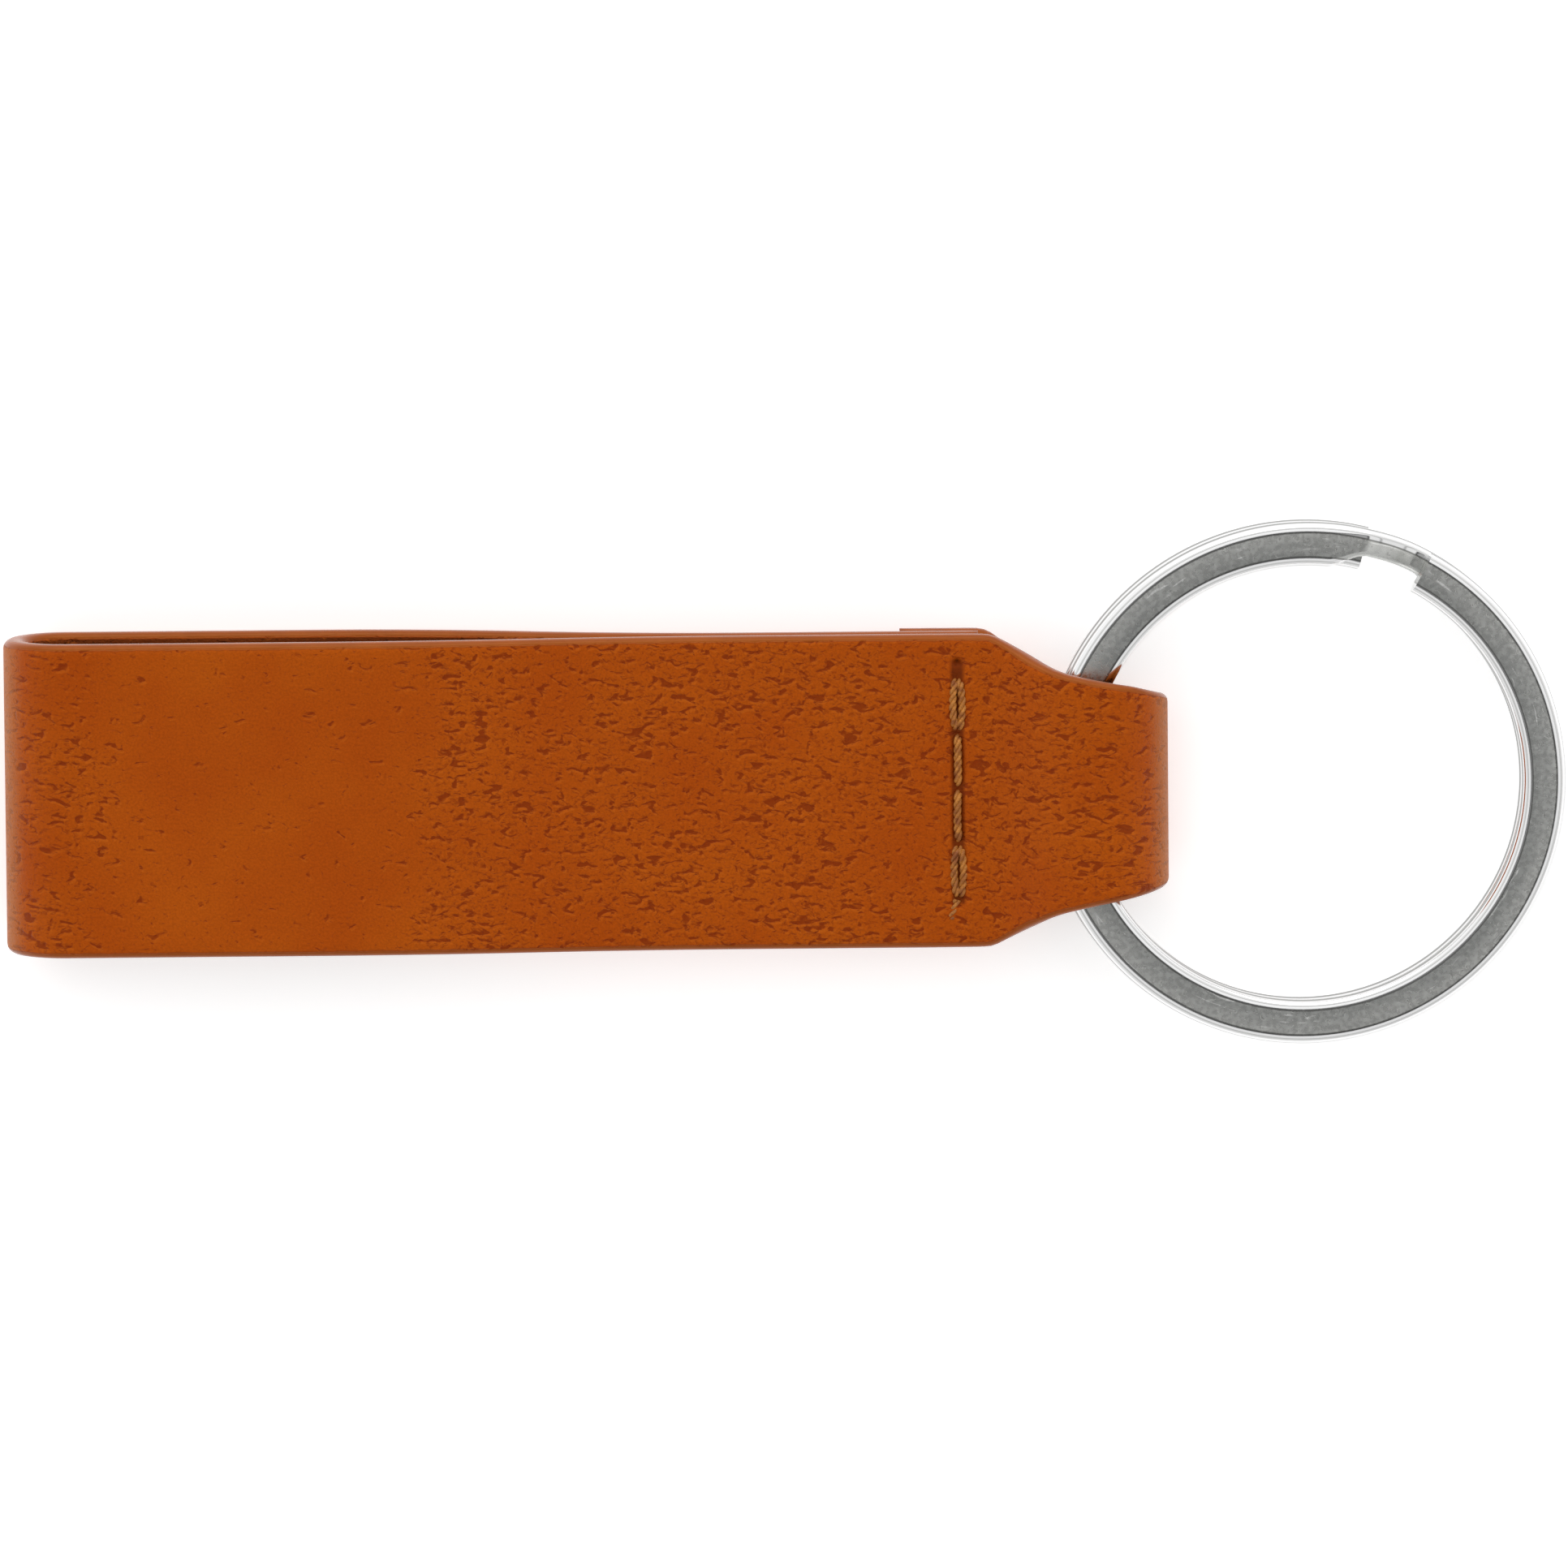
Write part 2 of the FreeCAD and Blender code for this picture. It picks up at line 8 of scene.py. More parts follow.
# %% Load the frame
import json
import math
import bmesh
import bpy
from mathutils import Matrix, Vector


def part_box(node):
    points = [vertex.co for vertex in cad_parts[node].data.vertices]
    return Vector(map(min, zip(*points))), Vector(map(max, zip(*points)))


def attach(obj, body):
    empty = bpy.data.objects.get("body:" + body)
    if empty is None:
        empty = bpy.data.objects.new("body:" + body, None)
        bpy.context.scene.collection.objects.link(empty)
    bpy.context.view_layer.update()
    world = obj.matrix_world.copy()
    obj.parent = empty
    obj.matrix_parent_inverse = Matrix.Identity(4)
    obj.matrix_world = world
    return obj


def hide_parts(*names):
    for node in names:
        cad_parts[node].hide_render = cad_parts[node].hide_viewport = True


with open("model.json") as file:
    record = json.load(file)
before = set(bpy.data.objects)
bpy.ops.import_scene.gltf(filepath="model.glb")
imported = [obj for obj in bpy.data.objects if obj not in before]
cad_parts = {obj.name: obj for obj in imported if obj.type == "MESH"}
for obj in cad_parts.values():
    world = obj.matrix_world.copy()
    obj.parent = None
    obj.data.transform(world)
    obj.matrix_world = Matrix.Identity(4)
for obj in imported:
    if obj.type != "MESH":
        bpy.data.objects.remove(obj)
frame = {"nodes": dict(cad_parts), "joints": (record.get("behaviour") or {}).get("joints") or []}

for cad_node in frame["nodes"].values():
    cad_node.data.update()
bpy.context.view_layer.update()
MM = 0.001

# %% [markdown]
# ## Small helpers
# Modelling by hand in Blender is always the same round: pick some points, edges or faces, then
# push one button. `choose` does the picking, by a test on each element, so that what is picked
# follows from where it lies. Everything else stays deselected, because operators act on all
# that is selected.


# %% Picking and finishing
def start_editing(piece):
    """Makes piece the only selected object and opens it in edit mode with nothing picked."""
    bpy.ops.object.select_all(action="DESELECT")
    piece.select_set(True)
    bpy.context.view_layer.objects.active = piece
    bpy.ops.object.mode_set(mode="EDIT")
    bpy.ops.mesh.select_all(action="DESELECT")


def choose(piece, kind, test):
    """Picks the elements of a kind, VERT, EDGE or FACE, that pass the test, and no others."""
    bpy.ops.mesh.select_mode(type=kind)
    bpy.ops.mesh.select_all(action="DESELECT")
    cells = bmesh.from_edit_mesh(piece.data)
    items = {"VERT": cells.verts, "EDGE": cells.edges, "FACE": cells.faces}[kind]
    picked = [item for item in items if test(item)]
    for item in picked:
        item.select_set(True)
    bmesh.update_edit_mesh(piece.data)
    return len(picked)


def stop_editing():
    bpy.ops.object.mode_set(mode="OBJECT")


def only(piece):
    """Makes piece the only selected and the active object."""
    bpy.ops.object.select_all(action="DESELECT")
    piece.select_set(True)
    bpy.context.view_layer.objects.active = piece


def settle(piece):
    """Writes the object's place and turn into its mesh, so that the object sits at the origin."""
    only(piece)
    bpy.ops.object.transform_apply(location=True, rotation=True, scale=True)


def size_of(piece):
    corners = [Vector(c) for c in piece.bound_box]
    return [round((max(c[i] for c in corners) - min(c[i] for c in corners)) / MM, 2) for i in range(3)]


# %% [markdown]
# ## The line that the leather follows
# Seen from the side, the strip is a row of straight stretches, gentle sways and two half
# circles. Each of them turns at a steady rate, so a pair of numbers says it all: how long it is
# and how far it turns to the left. Walking through the list gives the line, and the sum of the
# lengths gives the size of the flat strip that a leather worker would cut.

# %% Sizes of the strap
strap_low, strap_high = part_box("strap")
pivot = Vector(frame["joints"][0]["pos_m"])
LEATHER = 1.3 * MM
GLUE_LINE = 0.05 * MM
STRAP_WIDTH = strap_high.y - strap_low.y
LOOP_GAP = 4.4 * MM
FLAP_END = 6.55 * MM
INNER_END = 11.0 * MM
LIFT_OFF = 11.2 * MM
LOOP_OPEN = -27.0 * MM
LOOP_CLOSE = -2.0 * MM
LAYER = LEATHER + GLUE_LINE
TAB_RADIUS = pivot.z - LEATHER / 2
LOOP_RADIUS = (LOOP_GAP + LEATHER) / 2
TAB_FOLD_X = strap_high.x - LEATHER / 2 - TAB_RADIUS
LOOP_FOLD_X = strap_low.x + LEATHER / 2 + LOOP_RADIUS
print("strap is", round(STRAP_WIDTH / MM, 1), "mm wide; folds at", TAB_FOLD_X, LOOP_FOLD_X)


# %% Walking along the line
def sway(run, rise):
    """Two equal arcs that lead from one level to another; rise is positive to the left."""
    angle = 2 * math.atan2(rise, run)
    radius = run / (2 * math.sin(abs(angle)))
    return [(radius * abs(angle), angle), (radius * abs(angle), -angle)]


def walk(start, heading, moves, step):
    """Points along a line in the XZ plane that starts at start: [(distance, x, z), ...]."""
    x, z = start
    distance = 0
    points = [(distance, x, z)]
    for length, turn in moves:
        count = max(1, math.ceil(length / step))
        bend = turn / count
        chord = length / count
        if bend:
            chord *= math.sin(abs(bend) / 2) / (abs(bend) / 2)
        for _ in range(count):
            heading += bend / 2
            x += chord * math.cos(heading)
            z += chord * math.sin(heading)
            heading += bend / 2
            distance += length / count
            points.append((distance, x, z))
    return points


STEP = 0.25 * MM
CREST_RISE = LEATHER * 1.5 + LOOP_GAP - (pivot.z + LAYER)
ROUND_RING = sway(pivot.x - LIFT_OFF, -(pivot.z - LAYER - LEATHER / 2))
OPEN_UP = sway(LOOP_CLOSE - LOOP_OPEN, -CREST_RISE)
LIFT_BACK = sway(LOOP_CLOSE - LOOP_OPEN, pivot.z - LEATHER / 2)
moves = [(LIFT_OFF - FLAP_END, 0), *ROUND_RING, (TAB_FOLD_X - pivot.x, 0)]
moves += [(math.pi * TAB_RADIUS, math.pi), (TAB_FOLD_X - pivot.x, 0)]
moves += [(length, -turn) for length, turn in ROUND_RING]
front_start = sum(length for length, turn in moves)
moves += [(LIFT_OFF - LOOP_CLOSE, 0), *OPEN_UP, (LOOP_OPEN - LOOP_FOLD_X, 0)]
moves += [(math.pi * LOOP_RADIUS, math.pi), (LOOP_OPEN - LOOP_FOLD_X, 0), *LIFT_BACK]
moves += [(INNER_END - LOOP_CLOSE, 0)]
strap_line = walk((FLAP_END, pivot.z - LAYER), 0, moves, STEP)
STRAP_LENGTH = strap_line[-1][0]
print("the flat strip is", round(STRAP_LENGTH / MM, 1), "mm long")
print("it ends at", [round(c / MM, 3) for c in strap_line[-1][1:]])

# %% [markdown]
# ## The outline of the strip
# The strip keeps its full width except round the ring, where the maker has trimmed both edges:
# a short shoulder slopes in and melts into the long sides of the tab. Two straight slopes that
# are blended where they meet describe it better than a string of measured points would.

# %% Half the width at any place
SHOULDER_X = 11.72 * MM
SHOULDER_SLOPE = math.tan(math.radians(30))
TAB_SLOPE = math.tan(math.radians(10.7))
TAB_HALF = 5.65 * MM
SHOULDER_BLEND = 0.18 * MM
WAIST_BLEND = 0.37 * MM


def half_width(x):
    """Half the strip's width where it passes over x."""
    shoulder = STRAP_WIDTH / 2 - SHOULDER_SLOPE * (x - SHOULDER_X)
    tab = TAB_HALF + TAB_SLOPE * (strap_high.x - x)
    slope = (shoulder + tab + math.hypot(shoulder - tab, WAIST_BLEND)) / 2
    return (slope + STRAP_WIDTH / 2 - math.hypot(slope - STRAP_WIDTH / 2, SHOULDER_BLEND)) / 2


def x_at(distance):
    """The X that a place on the flat strip comes to lie at once it is folded."""
    for before, after in zip(strap_line, strap_line[1:]):
        if distance <= after[0]:
            share = (distance - before[0]) / (after[0] - before[0])
            return before[1] + share * (after[1] - before[1])
    return strap_line[-1][1]


print("half width at the tab fold:", round(half_width(strap_high.x) / MM, 2), "mm")

# %% [markdown]
# ## Cutting the strip
# The strip could be modelled folded from the start, but leather is cut flat, and so is this
# one: a grid of the flat size, drawn in column by column to the outline, given its thickness by
# an extrusion and its rubbed edges by a bevel. The fine columns are there for the folds.

# %% A flat blank
COLUMN = 0.4 * MM
COLUMNS = round(STRAP_LENGTH / COLUMN)
ROWS = 18
bpy.ops.object.select_all(action="DESELECT")
bpy.ops.mesh.primitive_grid_add(x_subdivisions=COLUMNS, y_subdivisions=ROWS, size=1)
strap = bpy.context.object
strap.name = "leather_strap"
start_editing(strap)
bpy.ops.mesh.select_all(action="SELECT")
bpy.ops.transform.resize(value=(STRAP_LENGTH, STRAP_WIDTH, 1))
bpy.ops.transform.translate(value=(STRAP_LENGTH / 2, 0, LEATHER / 2))

# %% Drawing the columns in to the outline
TUCK = 0.42 * MM
TUCK_SHIFT = 0.38 * MM
tuck_start = LIFT_OFF - FLAP_END
tuck_end = (tuck_start + front_start) / 2 + TAB_RADIUS


def tucked(place):
    """How far, from 0 to 1, the lower layer is drawn in under the front one at the tab."""
    share = min(1, max(0, (place - tuck_start) / (2.5 * MM)))
    return share * min(1, max(0, (tuck_end - place) / (6 * MM)))


pitch = STRAP_LENGTH / COLUMNS
for column in range(COLUMNS + 1):
    place = column * pitch
    half = half_width(x_at(place)) - TUCK * tucked(place)
    share = half / (STRAP_WIDTH / 2)
    if share < 0.9995:
        choose(strap, "VERT", lambda v: abs(v.co.x - place) < pitch / 4)
        bpy.ops.transform.resize(value=(1, share, 1), center_override=(place, 0, 0))
        bpy.ops.transform.translate(value=(0, -TUCK_SHIFT * tucked(place), 0))
print("outline drawn in over", COLUMNS, "columns")

# %% Thickness and rounded edges
EDGE_ROUND = 0.52 * MM
for end in (pitch, STRAP_LENGTH - pitch):
    choose(strap, "EDGE", lambda e: all(abs(v.co.x - end) < pitch / 4 for v in e.verts))
    bpy.ops.mesh.dissolve_edges(use_verts=False)
bpy.ops.mesh.select_all(action="SELECT")
bpy.ops.mesh.extrude_region_move(TRANSFORM_OT_translate={"value": (0, 0, -LEATHER)})
bpy.ops.mesh.select_all(action="SELECT")
bpy.ops.mesh.normals_make_consistent(inside=False)


def is_rim(edge):
    """True for an edge between a broad face and a side."""
    flats = [abs(face.normal.z) > 0.5 for face in edge.link_faces]
    return len(flats) == 2 and flats[0] != flats[1]


count = choose(strap, "EDGE", is_rim)
bpy.ops.mesh.bevel(offset=EDGE_ROUND, segments=5, affect="EDGES")
print("bevelled", count, "edges")

# %% [markdown]
# ## Dimples where the thread goes through
# An awl leaves a round pit at each hole, and the pulled thread sinks a groove between two pits.
# These are pressed into the mesh itself. Proportional editing is made for this: one point is
# pushed in and its neighbours follow less and less, as leather does. The area of the seam is
# subdivided first, so that there are points to follow.

# %% Where the seam runs
SEAM_X = 9.8 * MM
FIRST_HOLE = 6.6 * MM
HOLE_PITCH = 3.2 * MM
SPARE_HOLE = 7.45 * MM
holes = [FIRST_HOLE - i * HOLE_PITCH for i in range(5)]
seams = [front_start + LIFT_OFF - SEAM_X, SEAM_X - FLAP_END]
BEFORE_SEAM = 1.3 * MM


def beside_seam(face):
    """True for a face of the outer side that is close to one of the two rows of holes."""
    middle = face.calc_center_median()
    near = any(abs(middle.x - seam) < BEFORE_SEAM for seam in seams)
    return near and face.normal.z < -0.9 and abs(middle.y) < STRAP_WIDTH / 2 - MM


count = choose(strap, "FACE", beside_seam)
bpy.ops.mesh.subdivide(number_cuts=5)
print("subdivided", count, "faces beside the seam")


# %% Pressing the pits and grooves
def press(points, reach, depth, falloff):
    """Pushes the outer side in at the points, fading out over reach."""
    def hit(v):
        on_outside = v.co.z < -LEATHER / 2 + 0.02 * MM
        return on_outside and any(math.dist(v.co[:2], p) < 0.1 * MM for p in points)

    if choose(strap, "VERT", hit):
        bpy.ops.transform.translate(
            value=(0, 0, depth),
            use_proportional_edit=True,
            proportional_edit_falloff=falloff,
            proportional_size=reach,
        )


for seam in seams:
    for upper, lower in zip(holes, holes[1:]):
        row = [(seam, lower + HOLE_PITCH * i / 20) for i in range(21)]
        press(row, 0.5 * MM, 0.22 * MM, "SMOOTH")
    for hole in (*holes, SPARE_HOLE):
        press([(seam, hole)], 0.42 * MM, 0.45 * MM, "SHARP")
stop_editing()
print("strap blank:", len(strap.data.vertices), "points, size", size_of(strap), "mm")

# %% [markdown]
# ## Remembering the flat leather
# Grain, scuffs and the painted edge belong to the leather, not to the space round it, so they
# have to bend with it. Before folding, each point notes where it was on the flat strip and how
# far it was from the nearest edge. The materials read these two attributes.

# %% Two attributes of the flat strip
def note(piece, name, kind, values):
    """Stores one value per point of the mesh, FLOAT or FLOAT_VECTOR, under a name."""
    attribute = piece.data.attributes.new(name, kind, "POINT")
    field = "value" if kind == "FLOAT" else "vector"
    flat_list = values if kind == "FLOAT" else [c for value in values for c in value]
    attribute.data.foreach_set(field, flat_list)


def to_edge(co):
    middle = -TUCK_SHIFT * tucked(co.x)
    side = half_width(x_at(co.x)) - TUCK * tucked(co.x) - abs(co.y - middle)
    return max(0.0, min(side, co.x, STRAP_LENGTH - co.x))


note(strap, "flat_place", "FLOAT_VECTOR", [tuple(v.co) for v in strap.data.vertices])
note(strap, "edge_distance", "FLOAT", [to_edge(v.co) for v in strap.data.vertices])

# %% [markdown]
# ## Folding the strip
# A Curve modifier lays a flat piece along a line: each point goes as far along the line as its X
# says, and stays as far beside it as it was. Because the line is as long as the strip, nothing
# is stretched, just as in real leather.


# %% The Curve modifier as a bending jig
def make_jig(name, points):
    """A line to bend pieces along."""
    data = bpy.data.curves.new(name, "CURVE")
    data.dimensions = "3D"
    data.twist_mode = "MINIMUM"
    line = data.splines.new("POLY")
    line.points.add(len(points) - 1)
    for point, place in zip(line.points, points):
        point.co = (*place, 1)
    jig = bpy.data.objects.new(name, data)
    bpy.context.scene.collection.objects.link(jig)
    return jig


def bend_along(piece, jig):
    """Bends piece along the jig for good, and puts the jig away."""
    only(piece)
    bending = piece.modifiers.new("bend", "CURVE")
    bending.object = jig
    bending.deform_axis = "POS_X"
    bpy.ops.object.modifier_apply(modifier="bend")
    bpy.data.objects.remove(jig)


bend_along(strap, make_jig("strap_jig", [(x, 0, z) for distance, x, z in strap_line]))
only(strap)
bpy.ops.object.shade_smooth()
print("folded strap is", size_of(strap), "mm; the CAD strap is", (strap_high - strap_low) / MM)

# %% [markdown]
# ## Sewing thread
# Waxed thread is three plies twisted together, and at this size the twist is what makes it read
# as thread. One ply is a small circle that the Screw modifier carries along and round a line;
# three of them make a straight length, and each stitch is such a length bent out of one hole,
# along the leather and into the next.

# %% A straight length of twisted thread
PLY = 0.125 * MM
PLY_OFFSET = 0.115 * MM
TWIST_PITCH = 1.35 * MM
thread_low, thread_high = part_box("needle_thread")
THREAD = 2 * (PLY + PLY_OFFSET)


def twisted_length(name, length):
    """A straight length of three-ply thread from the origin along +X."""
    turns = length / TWIST_PITCH
    plies = []
    for i in range(3):
        angle = math.tau * i / 3
        place = (0, PLY_OFFSET * math.cos(angle), PLY_OFFSET * math.sin(angle))
        bpy.ops.object.select_all(action="DESELECT")
        bpy.ops.mesh.primitive_circle_add(
            vertices=9, radius=PLY, location=place, rotation=(0, math.pi / 2, 0)
        )
        ply = bpy.context.object
        settle(ply)
        twist = ply.modifiers.new("twist", "SCREW")
        twist.axis = "X"
        twist.angle = math.tau * turns
        twist.screw_offset = length
        twist.steps = twist.render_steps = round(length / (0.08 * MM))
        bpy.ops.object.modifier_apply(modifier="twist")
        start_editing(ply)
        bpy.ops.mesh.select_all(action="SELECT")
        bpy.ops.mesh.fill_holes(sides=9)
        bpy.ops.mesh.normals_make_consistent(inside=False)
        stop_editing()
        plies.append(ply)
    return join(name, plies)


def join(name, pieces):
    """Joins pieces into one named object at the origin."""
    only(pieces[0])
    for piece in pieces:
        piece.select_set(True)
    bpy.ops.object.join()
    joined = bpy.context.object
    joined.name = name
    bpy.ops.object.shade_smooth()
    return joined


# %% [markdown]
# ## The stitches
# The seam has five holes, so there are four stitches on each face. The first and the last are
# sewn twice, to lock the thread, and their two strands lie side by side with a slight fan.

# %% Bending lengths of thread into stitches
LEG_BEND = 0.35 * MM
LEG_DEPTH = 1.2 * MM
LEG_INSET = 0.27 * MM
SUNK = 0.07 * MM


def make_stitch(name, upper, lower, shift, bow, face, outwards):
    """One strand between two holes, shifted aside and bowed out, on the face that looks outwards."""
    span = (upper - LEG_INSET) - (lower + LEG_INSET)
    quarter = (LEG_BEND * math.pi / 2, -math.pi / 2)
    route = [(LEG_DEPTH, 0), quarter, (span - 2 * LEG_BEND, 0), quarter, (LEG_DEPTH, 0)]
    line = walk((0, 0), math.pi / 2, route, 0.05 * MM)
    aside = [shift + bow * math.sin(math.pi * min(1, max(0, x / span))) for _, x, _ in line]
    jig = make_jig("stitch_jig", [(x, y, z) for (_, x, z), y in zip(line, aside)])
    strand = twisted_length(name, line[-1][0])
    bend_along(strand, jig)
    top = max(v.co.z for v in strand.data.vertices)
    strand.rotation_euler.z = -math.pi / 2
    if outwards < 0:
        strand.rotation_euler.y = math.pi
        strand.rotation_euler.z = math.pi / 2
    strand.location = (SEAM_X, upper - LEG_INSET, face - outwards * (top + SUNK))
    settle(strand)
    return strand


def thread_end(face, outwards):
    """The cut end of the thread, which lies on the leather below the last hole."""
    tail = twisted_length("thread_end", 1.15 * MM)
    tail.rotation_euler.z = math.radians(-108)
    tail.location = (SEAM_X - 0.12 * MM, holes[-1], face - outwards * THREAD * 0.75)
    settle(tail)
    return tail


def sew(name, face, outwards):
    """All the strands of one thread on its face of the seam."""
    strands = []
    for i, (upper, lower) in enumerate(zip(holes, holes[1:])):
        doubled = i in (0, 3)
        shift, bow = (0.13 * MM, 0.15 * MM) if doubled else (0, 0.05 * MM)
        for way in (-1, 1) if doubled else (1 - i,):
            strands.append(
                make_stitch(f"strand_{i}", upper, lower, way * shift, way * bow, face, outwards)
            )
    strands.append(thread_end(face, outwards))
    return join(name, strands)


needle_stitches = sew("needle_stitches", thread_high.z, 1)
bobbin_stitches = sew("bobbin_stitches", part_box("bobbin_thread")[0].z, -1)
print("needle stitches:", size_of(needle_stitches), [round(c / MM, 2) for c in thread_high])

# %% [markdown]
# ## The split ring
# A split ring is one flat steel wire wound twice round, so its two coils lie on each other. The
# wire has a flat face and round edges. Where it changes from the upper coil to the lower one it
# is pinched narrower and steps down just before the cut end of the upper coil. So the section
# is drawn once, spun nearly round, led down in small steps, and spun round again.

# %% Sizes of the ring
ring_low, ring_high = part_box("split_ring")
ring_centre = (ring_low + ring_high) / 2
RING_RADIUS = (ring_high.y - ring_low.y) / 2
RING_LEAN = math.atan2(pivot.z - ring_centre.z, ring_centre.x - pivot.x)
WIRE_WIDTH = 2.5 * MM
COIL_PITCH = 1.2 * MM
WIRE_THICKNESS = COIL_PITCH - 0.03 * MM
WIRE_ROUND = 0.555 * MM
WIRE_RADIUS = RING_RADIUS - WIRE_WIDTH / 2
CUT_ANGLE = 60.5
PINCH_START = 84
STEP_DOWN = 76
STEPPED = 62.5
PINCH_END = 54
LOWER_CUT = 75
PINCHED = 0.62
print("ring radius", round(RING_RADIUS / MM, 2), "lean", round(math.degrees(RING_LEAN), 2))

# %% The wire's section, drawn at the cut end of the upper coil
bpy.ops.object.select_all(action="DESELECT")
bpy.ops.mesh.primitive_plane_add(size=1, rotation=(math.pi / 2, 0, 0))
ring = bpy.context.object
ring.name = "wire_ring"
ring.scale = (WIRE_WIDTH, WIRE_THICKNESS, 1)
ring.location = (WIRE_RADIUS, 0, COIL_PITCH / 2)
settle(ring)
ring.rotation_euler.z = math.radians(CUT_ANGLE)
settle(ring)
start_editing(ring)
bpy.ops.mesh.select_mode(type="VERT")
bpy.ops.mesh.select_all(action="SELECT")
bpy.ops.mesh.bevel(offset=WIRE_ROUND, segments=7, affect="VERTICES")


# %% Two turns of wire
def wind(degrees, steps):
    """Spins the picked section about the ring's axis, clockwise seen from above."""
    turn = math.radians(degrees)
    bpy.ops.mesh.spin(steps=steps, angle=turn, center=(0, 0, 0), axis=(0, 0, 1))


def eased(start, end, angle):
    """From 0 at the start angle to 1 at the end angle, gently at both."""
    share = min(1, max(0, (start - angle) / (start - end)))
    return share * share * (3 - 2 * share)


def pinch(angle):
    """How wide the wire is in the crossing, as a share of its full width."""
    narrowed = eased(PINCH_START, STEP_DOWN - 2, angle) - eased(STEPPED - 1, PINCH_END, angle)
    return 1 - (1 - PINCHED) * narrowed


wind(360 - (PINCH_START - CUT_ANGLE), 180)
CROSSING_STEPS = 50
for i in range(CROSSING_STEPS):
    before = PINCH_START - (PINCH_START - PINCH_END) * i / CROSSING_STEPS
    angle = PINCH_START - (PINCH_START - PINCH_END) * (i + 1) / CROSSING_STEPS
    wind(before - angle, 1)
    drop = eased(STEP_DOWN, STEPPED, angle) - eased(STEP_DOWN, STEPPED, before)
    bpy.ops.transform.translate(value=(0, 0, -COIL_PITCH * drop))
    narrower = pinch(angle) / pinch(before)
    outside = (
        RING_RADIUS * math.cos(math.radians(angle)),
        RING_RADIUS * math.sin(math.radians(angle)),
        0,
    )
    bpy.ops.transform.resize(value=(narrower, narrower, 1), center_override=outside)
wind(360 - (LOWER_CUT - PINCH_END), 180)
stop_editing()

# %% Noting the place across the wire, and leaning the ring as it lies
across = [math.hypot(v.co.x, v.co.y) - WIRE_RADIUS for v in ring.data.vertices]
note(ring, "across_wire", "FLOAT", across)
note(ring, "ring_place", "FLOAT_VECTOR", [tuple(v.co) for v in ring.data.vertices])
ring.rotation_euler = (0, RING_LEAN, 0)
ring.location = ring_centre
settle(ring)
bpy.ops.object.shade_smooth_by_angle(angle=math.radians(40))
print("ring has", len(ring.data.vertices), "points; size", size_of(ring))

# %% [markdown]
# ## Making materials from nodes
# Every finish here is worked out by nodes from the place on the piece, with no pictures. One
# helper adds a node and plugs in its inputs, another opens a node group, which is a small
# effect that several materials can share.


# %% Node helpers
def add(tree, kind, inputs=None, **settings):
    """Adds a shader node; inputs maps a socket to a value or to another node's output."""
    made = tree.nodes.new("ShaderNode" + kind)
    for name, value in settings.items():
        setattr(made, name, value)
    for name, value in (inputs or {}).items():
        socket = made.inputs[name]
        if isinstance(value, bpy.types.NodeSocket):
            tree.links.new(value, socket)
        else:
            socket.default_value = value
    return made


def math_of(tree, operation, a, b=0.0, clamp=False):
    node = add(tree, "Math", {0: a, 1: b}, operation=operation, use_clamp=clamp)
    return node.outputs[0]


def ramp_of(tree, value, low, high, to_low=0.0, to_high=1.0):
    """Takes value from the range low..high smoothly to the range to_low..to_high."""
    sockets = {"Value": value, "From Min": low, "From Max": high}
    sockets.update({"To Min": to_low, "To Max": to_high})
    node = add(tree, "MapRange", sockets, interpolation_type="SMOOTHSTEP")
    return node.outputs[0]


def mixed(tree, share, first, second):
    """The second colour over the first, by a share from 0 to 1."""
    node = add(tree, "Mix", data_type="RGBA", clamp_factor=True)
    for socket, value in zip((node.inputs[0], node.inputs[6], node.inputs[7]), (share, first, second)):
        if isinstance(value, bpy.types.NodeSocket):
            tree.links.new(value, socket)
        else:
            socket.default_value = value
    return node.outputs[2]


def colour(red, green, blue):
    """A colour as it looks on a screen, 0 to 255, as the linear values that nodes take."""
    linear = []
    for channel in (red, green, blue):
        share = channel / 255
        linear.append(share / 12.92 if share <= 0.04045 else ((share + 0.055) / 1.055) ** 2.4)
    return (*linear, 1)


def open_group(name, inputs, outputs):
    """A new node group with float, vector or colour sockets: its tree, inputs and outputs."""
    kinds = {"float": "NodeSocketFloat", "vector": "NodeSocketVector", "colour": "NodeSocketColor"}
    tree = bpy.data.node_groups.new(name, "ShaderNodeTree")
    for label, kind in inputs:
        tree.interface.new_socket(label, in_out="INPUT", socket_type=kinds[kind])
    for label, kind in outputs:
        tree.interface.new_socket(label, in_out="OUTPUT", socket_type=kinds[kind])
    return tree, tree.nodes.new("NodeGroupInput").outputs, tree.nodes.new("NodeGroupOutput").inputs


def use(tree, group, inputs):
    """Places a node group in a tree, with this use's own values, and returns its outputs."""
    made = tree.nodes.new("ShaderNodeGroup")
    made.node_tree = group
    for name, value in inputs.items():
        if isinstance(value, bpy.types.NodeSocket):
            tree.links.new(value, made.inputs[name])
        else:
            made.inputs[name].default_value = value
    return made.outputs


def open_material(name):
    """A new material: its tree and its Principled BSDF, which is already plugged in."""
    material = bpy.data.materials.new(name)
    material.use_nodes = True
    tree = material.node_tree
    return material, tree, tree.nodes["Principled BSDF"]


# %% [markdown]
# ## Shared effects
# Mottling is slow cloudiness plus fine grain. Flecks are small marks strewn at random: they are
# the peaks of a noise that is stretched along the piece, and the cut-off says how high a peak
# has to be, and so how many marks there are.
# Both work in millimetres on the piece's own coordinates, so that one look at the number tells
# how large a mark is. Leather, steel and thread all use them, with different values.

